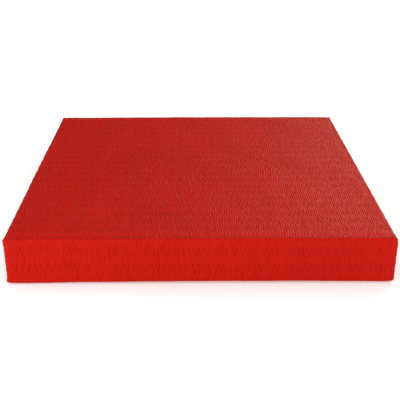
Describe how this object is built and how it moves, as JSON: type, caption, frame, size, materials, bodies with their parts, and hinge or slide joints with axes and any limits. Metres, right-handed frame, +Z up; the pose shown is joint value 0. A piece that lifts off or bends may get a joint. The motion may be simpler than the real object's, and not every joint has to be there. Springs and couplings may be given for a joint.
{
  "type": "gymnastics mat",
  "caption": "Square tatami-type mat tile: a dense foam block in a bonded red vinyl cover with rice-straw embossing, taped corners and a non-slip rubber base.",
  "frame": {"origin": "centre of the underside, on the surface the mat rests on", "axes": "+Z up through the thickness, +X to the right along the front edge, +Y from the front skirt towards the rear skirt"},
  "size_m": [0.32, 0.32, 0.042],
  "materials": {
    "cover_vinyl": "PVC-coated fabric, satin, embossed like woven rice straw",
    "foam": "dense rebonded polyurethane foam, open cut faces with mixed chips",
    "base_rubber": "non-slip rubber sheet with a fine waffle face",
    "tape_vinyl": "plain vinyl tape"
  },
  "bodies": {
    "root": {"vinyl_cover": "cover_vinyl", "foam_core": "foam", "base_sheet": "base_rubber", "corner_tape_front_left": "tape_vinyl", "corner_tape_front_right": "tape_vinyl", "corner_tape_rear_left": "tape_vinyl", "corner_tape_rear_right": "tape_vinyl"}
  },
  "joints": []
}
